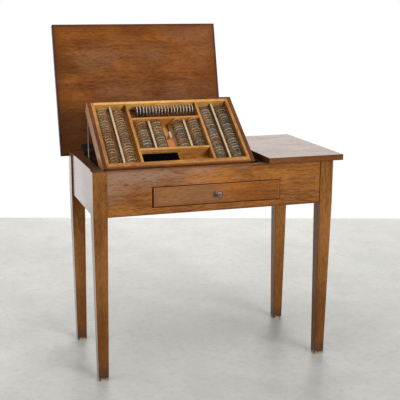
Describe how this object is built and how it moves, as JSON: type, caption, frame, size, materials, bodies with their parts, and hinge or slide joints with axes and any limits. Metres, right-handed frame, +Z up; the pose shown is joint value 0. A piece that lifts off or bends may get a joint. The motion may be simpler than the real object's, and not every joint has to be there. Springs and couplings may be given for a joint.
{
  "type": "optician's trial-lens desk",
  "caption": "Desk on tapered legs with a fixed right top, a rear-hinged left lid, a tilting tray of round trial lenses propped on a rod in the well below it, and a drawer in the front apron.",
  "frame": {"origin": "on the floor, below the middle of the desk's bounding box with the lid open", "axes": "+Z up, +X to the right of someone who sits at the desk, and +Y to its back"},
  "size_m": [0.9266, 0.6155, 1.1985],
  "materials": {
    "brown_wood": "brown-stained oak, worn satin varnish",
    "honey_wood": "golden oak, satin varnish",
    "drawer_wood": "plain unstained softwood",
    "dark_iron": "blackened iron",
    "brass": "aged brass",
    "steel": "bright drawn steel",
    "nickel": "polished nickel plate",
    "cream_strip": "cream celluloid strip, blank",
    "lens_glass": "clear glass in thin metal rims",
    "black_case": "black leather-covered slip case"
  },
  "bodies": {
    "desk": {"leg_front_left": "brown_wood", "leg_front_right": "brown_wood", "leg_rear_left": "brown_wood", "leg_rear_right": "brown_wood", "front_apron": "brown_wood", "rear_apron": "brown_wood", "end_panel_left": "brown_wood", "end_panel_right": "brown_wood", "well_ledge_left": "brown_wood", "split_rail": "brown_wood", "fixed_top": "brown_wood", "bay_side_left": "drawer_wood", "bay_side_right": "drawer_wood", "drawer_runner_left": "drawer_wood", "drawer_runner_right": "drawer_wood", "well_floor": "drawer_wood", "lid_hinge_frame_leaves": "dark_iron", "lid_hinge_pins": "dark_iron", "lid_hinge_frame_screws": "dark_iron", "tray_hinge_apron_leaves": "brass", "tray_hinge_pins": "brass", "prop_catch": "steel"},
    "drawer": {"drawer_front": "brown_wood", "drawer_side_left": "drawer_wood", "drawer_side_right": "drawer_wood", "drawer_back": "drawer_wood", "drawer_bottom": "drawer_wood", "drawer_knob": "nickel", "knob_screw": "steel"},
    "lid": {"lid_panel": "brown_wood", "lid_hinge_lid_leaves": "dark_iron", "lid_hinge_lid_screws": "dark_iron"},
    "lens_tray": {"tray_front": "brown_wood", "tray_rear": "brown_wood", "tray_left": "brown_wood", "tray_right": "brown_wood", "tray_bottom": "honey_wood", "liner_front": "honey_wood", "liner_rear": "honey_wood", "liner_left": "honey_wood", "liner_right": "honey_wood", "divider_left": "honey_wood", "divider_right": "honey_wood", "cross_divider_upper": "honey_wood", "cross_divider_lower": "honey_wood", "lens_rack_left": "honey_wood", "lens_rack_right": "honey_wood", "lens_rack_middle_left": "honey_wood", "lens_rack_middle_right": "honey_wood", "lens_rack_top": "honey_wood", "spacer_block": "honey_wood", "number_strips": "cream_strip", "lenses_left": "lens_glass", "lenses_right": "lens_glass", "lenses_middle": "lens_glass", "lenses_top": "lens_glass", "lens_case": "black_case", "tray_hinge_tray_leaves": "brass", "prop_bracket": "steel"},
    "prop": {"prop_rod": "steel"}
  },
  "joints": [
    {"name": "drawer_slide", "type": "slide", "parent": "desk", "child": "drawer", "axis": [0, -1, 0], "range_m": [0, 0.28]},
    {"name": "lid_hinge", "type": "hinge", "parent": "desk", "child": "lid", "pos_m": [-0.143, 0.16936, 0.73955], "axis": [1, 0, 0], "range_deg": [0, 104.5]},
    {"name": "tray_tilt", "type": "hinge", "parent": "desk", "child": "lens_tray", "pos_m": [-0.1217, -0.26148, 0.725], "axis": [1, 0, 0], "range_deg": [-39, 0]},
    {"name": "prop_fold", "type": "hinge", "parent": "lens_tray", "child": "prop", "pos_m": [-0.383, 0.039, 0.88646], "axis": [1, 0, 0], "range_deg": [-54, 0]}
  ],
  "couplings": [
    {"joint": "tray_tilt", "follows": "lid_hinge", "ratio": -0.37321},
    {"joint": "prop_fold", "follows": "lid_hinge", "ratio": -0.51675}
  ]
}
